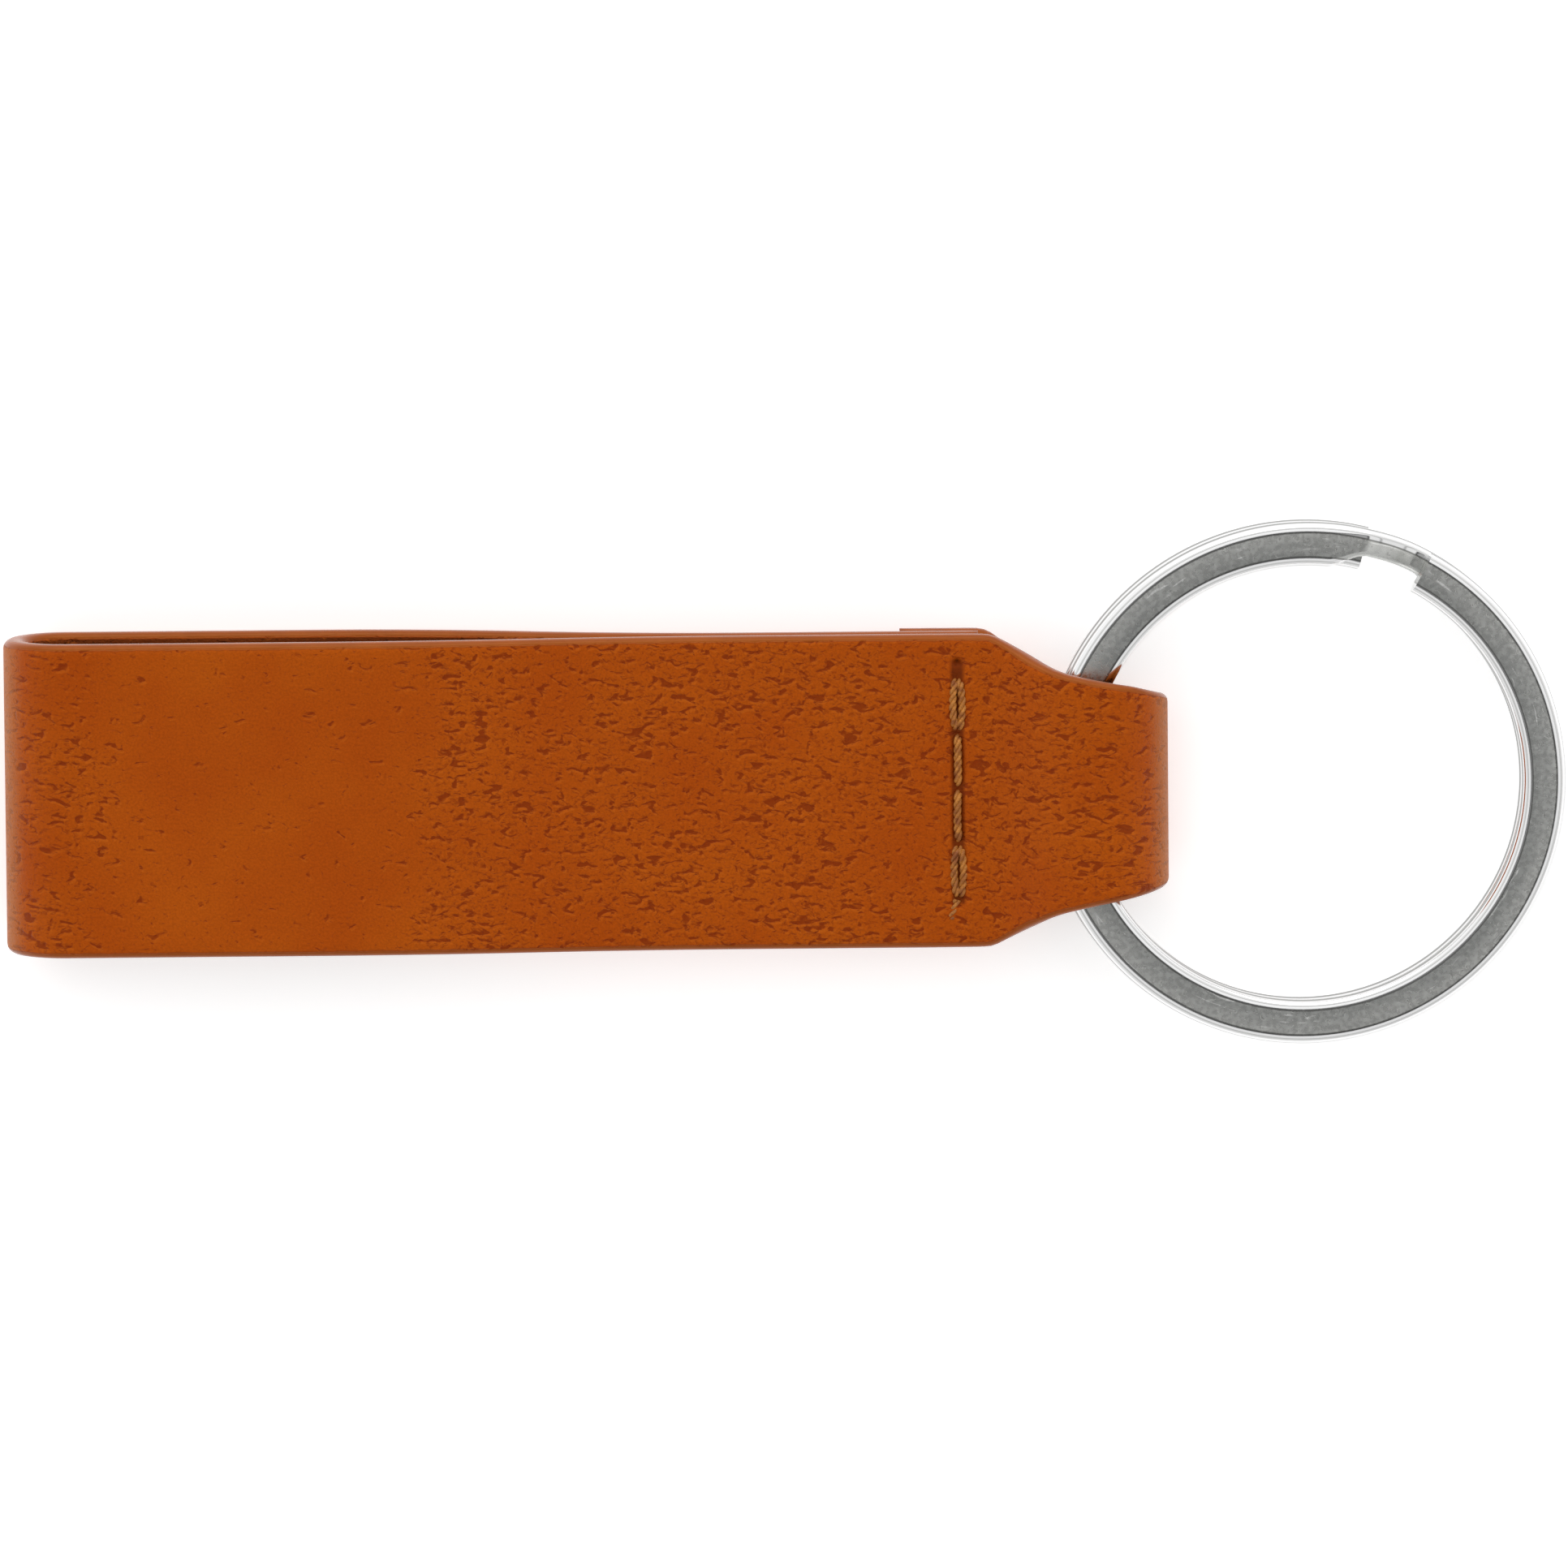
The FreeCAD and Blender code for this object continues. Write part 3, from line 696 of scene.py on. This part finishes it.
# %% Mottling
mottling, inside, outside_of = open_group(
    "mottling", [("Place", "vector"), ("Size", "float")], [("Cloud", "float"), ("Grain", "float")]
)
scaled = add(mottling, "VectorMath", {0: inside["Place"]}, operation="SCALE")
per_size = math_of(mottling, "DIVIDE", 1 / MM, inside["Size"])
mottling.links.new(per_size, scaled.inputs["Scale"])
cloud = add(mottling, "TexNoise", {"Vector": scaled.outputs[0], "Scale": 1.0, "Detail": 3.0})
grain = add(mottling, "TexNoise", {"Vector": scaled.outputs[0], "Scale": 9.0, "Detail": 4.0})
mottling.links.new(cloud.outputs[0], outside_of["Cloud"])
mottling.links.new(grain.outputs[0], outside_of["Grain"])

# %% Flecks
flecks, inside, outside_of = open_group(
    "flecks",
    [("Place", "vector"), ("Length", "float"), ("Slimness", "float"), ("Cutoff", "float")],
    [("Mask", "float")],
)
parts = add(flecks, "SeparateXYZ", {0: inside["Place"]}).outputs
slim = math_of(flecks, "MULTIPLY", parts[1], inside["Slimness"])
stretched = add(flecks, "CombineXYZ", {0: parts[0], 1: slim, 2: parts[2]}).outputs[0]
strewn = add(flecks, "TexNoise", {"Vector": stretched, "Detail": 2.5, "Distortion": 0.8})
flecks.links.new(math_of(flecks, "DIVIDE", 1.0, inside["Length"]), strewn.inputs["Scale"])
full = math_of(flecks, "ADD", inside["Cutoff"], 0.1)
cut = ramp_of(flecks, strewn.outputs[0], inside["Cutoff"], full)
flecks.links.new(cut, outside_of["Mask"])

# %% The painted edge
edge_paint, inside, outside_of = open_group(
    "edge_paint",
    [("Distance", "float"), ("Place", "vector"), ("Width", "float")],
    [("Paint", "float"), ("Line", "float")],
)
uneven = add(edge_paint, "TexNoise", {"Vector": inside["Place"], "Scale": 1800.0, "Detail": 3.0})
drift = math_of(edge_paint, "MULTIPLY_ADD", uneven.outputs[0], 0.16 * MM)
edge_paint.nodes[-1].inputs[2].default_value = -0.08 * MM
past = math_of(edge_paint, "ADD", inside["Distance"], drift)
beyond = math_of(edge_paint, "SUBTRACT", past, inside["Width"])
edge_paint.links.new(ramp_of(edge_paint, beyond, 0.04 * MM, -0.04 * MM), outside_of["Paint"])
away = math_of(edge_paint, "ABSOLUTE", beyond)
edge_paint.links.new(ramp_of(edge_paint, away, 0.1 * MM, 0.02 * MM), outside_of["Line"])

# %% [markdown]
# ## Leather
# Vegetable-tanned leather is a deep translucent orange. Its grain side is smooth, with cloudy
# dye, fine pores and short darker scuffs that lie along the strap. They crowd where the strap
# is folded. The edges are sealed with a brown paint that shines more than the face. The inner
# side is the rough flesh side, darker and dull.


# %% Mixing two numbers
def mixed_value(tree, share, first, second):
    node = add(tree, "Mix", {0: share, 2: first, 3: second}, clamp_factor=True)
    return node.outputs[0]


# %% Where the leather is smooth, and where the seam draws it in
SMOOTH_MIDDLE = -30 * MM
SEAM_MIDDLE = 0.55 * MM
SEAM_HALF = 7.2 * MM


def crowding(tree, along, cloud):
    """From 0, where the leather has been rubbed smooth, to 1, where its grain is crowded."""
    off_smooth = math_of(tree, "ABSOLUTE", math_of(tree, "SUBTRACT", along, SMOOTH_MIDDLE))
    rubbed = ramp_of(tree, off_smooth, 12 * MM, 5 * MM, 0.0, 0.75)
    patches = ramp_of(tree, cloud, 0.3, 0.7, 0.55, 1.0)
    return math_of(tree, "SUBTRACT", patches, rubbed, clamp=True)


def beside_stitches(tree, place):
    """1 in the groove of the seam on both layers, where painted shade darkens the leather, 0 away from
    it.
    """
    spots = add(tree, "SeparateXYZ", {0: place}).outputs
    beside = [
        math_of(tree, "ABSOLUTE", math_of(tree, "SUBTRACT", spots[0], seam)) for seam in seams
    ]
    across = ramp_of(tree, math_of(tree, "MINIMUM", *beside), 0.5 * MM, 0.22 * MM)
    off_middle = math_of(tree, "ABSOLUTE", math_of(tree, "SUBTRACT", spots[1], SEAM_MIDDLE))
    return math_of(tree, "MULTIPLY", across, ramp_of(tree, off_middle, SEAM_HALF, SEAM_HALF - 0.4 * MM))


# %% Leather with its painted edges
def leather_material(name, dark, light, fleck, rough, relief_depth):
    material, tree, shader = open_material(name)
    place = add(tree, "Attribute", attribute_name="flat_place").outputs["Vector"]
    edge = add(tree, "Attribute", attribute_name="edge_distance").outputs["Fac"]
    object_place = add(tree, "TexCoord").outputs["Object"]
    along = add(tree, "SeparateXYZ", {0: object_place}).outputs[0]
    broad = use(tree, mottling, {"Place": place, "Size": 7.0})
    fine = use(tree, mottling, {"Place": place, "Size": 1.2})
    crowded = crowding(tree, along, broad["Cloud"])
    dye = mixed(tree, ramp_of(tree, broad["Cloud"], 0.2, 0.8), dark, light)
    toned = add(tree, "VectorMath", {0: dye}, operation="SCALE")
    tree.links.new(ramp_of(tree, fine["Grain"], 0.25, 0.75, 0.88, 1.1), toned.inputs["Scale"])
    cutoff = ramp_of(tree, crowded, 0, 1, 0.64, 0.535)
    marks = use(tree, flecks, {"Place": place, "Length": 0.75 * MM, "Slimness": 1.8, "Cutoff": cutoff})
    small = use(tree, flecks, {"Place": place, "Length": 0.3 * MM, "Slimness": 1.5, "Cutoff": cutoff})
    # Painted highlight: a lighter copy of each dark scuff, shifted a little aside, stands for the lit
    # side of the raised ridge beside it.
    ridge_highlight_place = add(tree, "VectorMath", {0: place, 1: (0.1 * MM, 0.16 * MM, 0)}, operation="ADD")
    painted_ridge_highlights = use(
        tree,
        flecks,
        {"Place": ridge_highlight_place.outputs[0], "Length": 0.75 * MM, "Slimness": 1.8, "Cutoff": cutoff},
    )
    ridge_highlight_share = math_of(tree, "MULTIPLY", painted_ridge_highlights["Mask"], 0.3)
    flecked = mixed(tree, ridge_highlight_share, toned.outputs[0], colour(196, 98, 22))
    dark_share = math_of(tree, "MULTIPLY", marks["Mask"], 0.75)
    flecked = mixed(tree, dark_share, flecked, fleck)
    flecked = mixed(tree, math_of(tree, "MULTIPLY", small["Mask"], 0.4), flecked, fleck)
    # Painted reflection: within 1.3 mm of each fold end the colour turns tan, standing for the white
    # surroundings reflected at grazing angles round the fold.
    left_fold = ramp_of(tree, along, strap_low.x + 1.3 * MM, strap_low.x + 0.1 * MM)
    right_fold = ramp_of(tree, along, strap_high.x - 1.3 * MM, strap_high.x - 0.1 * MM)
    fold_reflection_share = math_of(tree, "MULTIPLY", math_of(tree, "MAXIMUM", left_fold, right_fold), 0.6)
    flecked = mixed(tree, fold_reflection_share, flecked, colour(168, 104, 50))
    # Painted shade: the leather along the seam is darkened where the sunk groove would lie in shade.
    groove = math_of(tree, "MULTIPLY", beside_stitches(tree, place), 0.8)
    flecked = mixed(tree, groove, flecked, colour(92, 26, 2))
    paint = use(tree, edge_paint, {"Distance": edge, "Place": place, "Width": 0.3 * MM})
    bordered = mixed(tree, math_of(tree, "MULTIPLY", paint["Line"], 0.5), flecked, colour(112, 38, 2))
    brown = mixed(tree, fine["Cloud"], colour(128, 58, 10), colour(148, 72, 18))
    painted = mixed(tree, paint["Paint"], bordered, brown)
    tree.links.new(painted, shader.inputs["Base Color"])
    face_rough = ramp_of(tree, fine["Grain"], 0.3, 0.7, rough - 0.06, rough + 0.08)
    roughness = mixed_value(tree, paint["Paint"], face_rough, 0.24)
    tree.links.new(roughness, shader.inputs["Roughness"])
    relief = math_of(tree, "SUBTRACT", fine["Grain"], marks["Mask"])
    relief = math_of(tree, "SUBTRACT", relief, math_of(tree, "MULTIPLY", small["Mask"], 0.5))
    bare = math_of(tree, "SUBTRACT", 1.0, paint["Paint"])
    relief = math_of(tree, "MULTIPLY", relief, bare)
    bump = add(tree, "Bump", {"Height": relief, "Distance": relief_depth, "Strength": 0.8})
    tree.links.new(bump.outputs[0], shader.inputs["Normal"])
    shader.inputs["Specular IOR Level"].default_value = 0.3
    shader.inputs["Specular Tint"].default_value = (1.0, 0.5, 0.2, 1.0)
    return material


grain_leather = leather_material(
    "grain_leather", colour(160, 64, 2), colour(170, 76, 5), colour(112, 27, 1), 0.5, 0.04 * MM
)
flesh_leather = leather_material(
    "flesh_leather", colour(92, 36, 8), colour(116, 52, 16), colour(70, 26, 6), 0.85, 0.1 * MM
)
strap.data.materials.append(grain_leather)
strap.data.materials.append(flesh_leather)

# %% Which faces show the flesh side
flat = strap.data.attributes["flat_place"].data
for face in strap.data.polygons:
    depths = [flat[i].vector.z for i in face.vertices]
    if min(depths) > LEATHER / 2 - 0.05 * MM:
        face.material_index = 1
print("flesh faces:", sum(face.material_index for face in strap.data.polygons))

# %% [markdown]
# ## Thread
# The thread is waxed linen of a golden brown. Fine noise streaks along the strand darken it with
# painted shade that stands for the valleys between the plies, and a slow drift from stitch to stitch
# takes the gold up to a painted highlight tone.

# %% Waxed thread
waxed_thread, tree, shader = open_material("waxed_thread")
place = add(tree, "TexCoord").outputs["Object"]
cloud = use(tree, mottling, {"Place": place, "Size": 0.5})
# The lighter gold is a painted highlight tone, and the dark streaks mixed in below are painted shade of
# the valleys between the plies; both are laid by noise.
gold_with_painted_highlight = mixed(tree, ramp_of(tree, cloud["Cloud"], 0.3, 0.7), colour(138, 72, 10), colour(206, 134, 46))
ply_valley_shade = ramp_of(tree, cloud["Grain"], 0.3, 0.7, 0.0, 0.5)
tree.links.new(mixed(tree, ply_valley_shade, gold_with_painted_highlight, colour(96, 38, 3)), shader.inputs["Base Color"])
bump = add(tree, "Bump", {"Height": cloud["Grain"], "Distance": 0.03 * MM, "Strength": 0.7})
tree.links.new(bump.outputs[0], shader.inputs["Normal"])
tree.links.new(ramp_of(tree, cloud["Grain"], 0.3, 0.7, 0.5, 0.7), shader.inputs["Roughness"])
for stitches in (needle_stitches, bobbin_stitches):
    stitches.data.materials.append(waxed_thread)

# %% [markdown]
# ## Steel
# The wire is rolled flat, so its faces are a satin grey with pits and bright specks, and its
# rounded edges are polished by wear. Thin dark lines across the wire are painted reflection. The note
# of the place across the wire tells them apart.

# %% Painted dark lines and zones across the wire
FLAT_HALF = WIRE_WIDTH / 2 - WIRE_ROUND


def painted_line_at(tree, value, place, half_line):
    """1 on a thin line where value is at place, 0 beside it."""
    away = math_of(tree, "ABSOLUTE", math_of(tree, "SUBTRACT", value, place))
    return ramp_of(tree, away, half_line * 1.6, half_line * 0.5)


# %% Plated steel
plated_steel, tree, shader = open_material("plated_steel")
place = add(tree, "Attribute", attribute_name="ring_place").outputs["Vector"]
across_wire = add(tree, "Attribute", attribute_name="across_wire").outputs["Fac"]
off_middle = math_of(tree, "ABSOLUTE", across_wire)
flat_face = ramp_of(tree, off_middle, FLAT_HALF + 0.05 * MM, FLAT_HALF - 0.05 * MM)
spots = add(tree, "SeparateXYZ", {0: place}).outputs
turned = math_of(tree, "MULTIPLY", math_of(tree, "ARCTAN2", spots[1], spots[0]), WIRE_RADIUS * 0.1)
rolled = add(tree, "CombineXYZ", {0: turned, 1: across_wire}).outputs[0]
streaks = use(tree, mottling, {"Place": rolled, "Size": 0.7})
cloud = use(tree, mottling, {"Place": place, "Size": 2.6})
pits = use(tree, flecks, {"Place": place, "Length": 0.3 * MM, "Slimness": 1.0, "Cutoff": 0.6})
specks = use(tree, flecks, {"Place": rolled, "Length": 0.24 * MM, "Slimness": 1.0, "Cutoff": 0.64})
outwards = ramp_of(tree, across_wire, -FLAT_HALF, FLAT_HALF)
tone = math_of(tree, "MULTIPLY_ADD", streaks["Cloud"], 0.6)
tree.nodes[-1].inputs[2].default_value = -0.05
tone = math_of(tree, "ADD", tone, math_of(tree, "MULTIPLY", outwards, 0.35), clamp=True)
satin = mixed(tree, tone, colour(158, 160, 158), colour(226, 226, 222))
pitted = mixed(tree, math_of(tree, "MULTIPLY", pits["Mask"], 0.3), satin, colour(120, 120, 116))
specked = mixed(tree, math_of(tree, "MULTIPLY", specks["Mask"], 0.8), pitted, colour(250, 250, 248))
surface = mixed(tree, flat_face, colour(232, 232, 232), specked)
# Painted reflection: three thin dark lines, at the border of the flat, inside the round edge and at the
# outer edge of the wire, stand for the dark outlines and reflections that these edges show.
for distance, share, grey in (
    (FLAT_HALF, 0.7, colour(84, 84, 80)),
    (FLAT_HALF + 0.27 * MM, 0.35, colour(150, 150, 146)),
    (WIRE_WIDTH / 2, 0.75, colour(96, 96, 92)),
):
    line = math_of(tree, "MULTIPLY", painted_line_at(tree, off_middle, distance, 0.045 * MM), share)
    surface = mixed(tree, line, surface, grey)
tree.links.new(surface, shader.inputs["Base Color"])
satin_rough = ramp_of(tree, cloud["Grain"], 0.3, 0.7, 0.2, 0.36)
tree.links.new(mixed_value(tree, flat_face, 0.1, satin_rough), shader.inputs["Roughness"])
shader.inputs["Metallic"].default_value = 1.0
height = math_of(tree, "SUBTRACT", cloud["Grain"], pits["Mask"])
height = math_of(tree, "MULTIPLY", height, flat_face)
bump = add(tree, "Bump", {"Height": height, "Distance": 0.012 * MM, "Strength": 0.5})
tree.links.new(bump.outputs[0], shader.inputs["Normal"])
ring.data.materials.append(plated_steel)

# %% [markdown]
# ## What each piece stands for
# The strap and its threads are one body, the ring is the other.

# %% Riding on the bodies
for piece, body, node, slot_name in (
    (strap, "strap", "strap", "leather"),
    (needle_stitches, "strap", "needle_thread", "thread"),
    (bobbin_stitches, "strap", "bobbin_thread", "thread"),
    (ring, "ring", "split_ring", "plated_steel"),
):
    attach(piece, body)
    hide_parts(node)

# %% [markdown]
# ## Table, light and camera
# A white table, and light from a soft tent all round. A tent has an opening above the object,
# which is what turns the flat steel grey while its round edges stay bright.

# %% The table
bpy.ops.object.select_all(action="DESELECT")
bpy.ops.mesh.primitive_plane_add(size=3.0)
table = bpy.context.object
table.name = "table"
table_paint, tree, shader = open_material("table_paint")
shader.inputs["Base Color"].default_value = (0.9, 0.9, 0.9, 1)
shader.inputs["Roughness"].default_value = 0.8
shader.inputs["Specular IOR Level"].default_value = 0.0
shader.inputs["Emission Color"].default_value = (1, 1, 1, 1)
shader.inputs["Emission Strength"].default_value = 0.42
table.data.materials.append(table_paint)

# %% The light tent
scene = bpy.context.scene
world = bpy.data.worlds.new("light_tent")
scene.world = world
world.use_nodes = True
tree = world.node_tree
direction = add(tree, "TexCoord").outputs["Generated"]
opening = Vector((0.15, -0.13, 0.98)).normalized()
towards = add(tree, "VectorMath", {0: direction, 1: tuple(opening)}, operation="DOT_PRODUCT")
angle = math_of(tree, "ARCCOSINE", towards.outputs["Value"])
degrees = math_of(tree, "DEGREES", angle)
in_opening = ramp_of(tree, degrees, 22, 16)
rim_of_opening = math_of(tree, "MULTIPLY", ramp_of(tree, degrees, 12, 16), in_opening)
seam_line = ramp_of(tree, math_of(tree, "ABSOLUTE", math_of(tree, "SUBTRACT", degrees, 49.0)), 3.0, 1.0)
tent = mixed_value(tree, in_opening, 1.02, 0.42)
tent = mixed_value(tree, rim_of_opening, tent, 0.06)
tent = mixed_value(tree, seam_line, tent, 0.5)
parts = add(tree, "SeparateXYZ", {0: direction}).outputs
towards_top = ramp_of(tree, parts[1], -0.6, 0.8, 0.88, 1.12)
window = ramp_of(tree, parts[1], 0.8, 0.95, 0.0, 2.2)
strength = math_of(tree, "ADD", math_of(tree, "MULTIPLY", tent, towards_top), window)
background = tree.nodes["Background"].inputs
background["Color"].default_value = (1, 1, 1, 1)
tree.links.new(strength, background["Strength"])
scene.view_settings.view_transform = "Standard"

# %% The camera
FRAME_WIDTH = 89.4 * MM
CAMERA_TILT = math.radians(7.5)
CAMERA_ROLL = math.radians(0.52)
CAMERA_DISTANCE = 1.2
camera_data = bpy.data.cameras.new("camera")
camera_data.sensor_width = 36
camera_data.lens = 36 * CAMERA_DISTANCE / FRAME_WIDTH
camera_data.clip_end = 10
camera = bpy.data.objects.new("camera", camera_data)
scene.collection.objects.link(camera)
aim = Vector((-0.11 * MM, 0.32 * MM, 4 * MM))
camera.location = aim + CAMERA_DISTANCE * Vector((0, math.sin(CAMERA_TILT), math.cos(CAMERA_TILT)))
camera.rotation_euler = (-CAMERA_TILT, 0, 0)
camera.rotation_euler.rotate_axis("Z", -CAMERA_ROLL)
scene.camera = camera
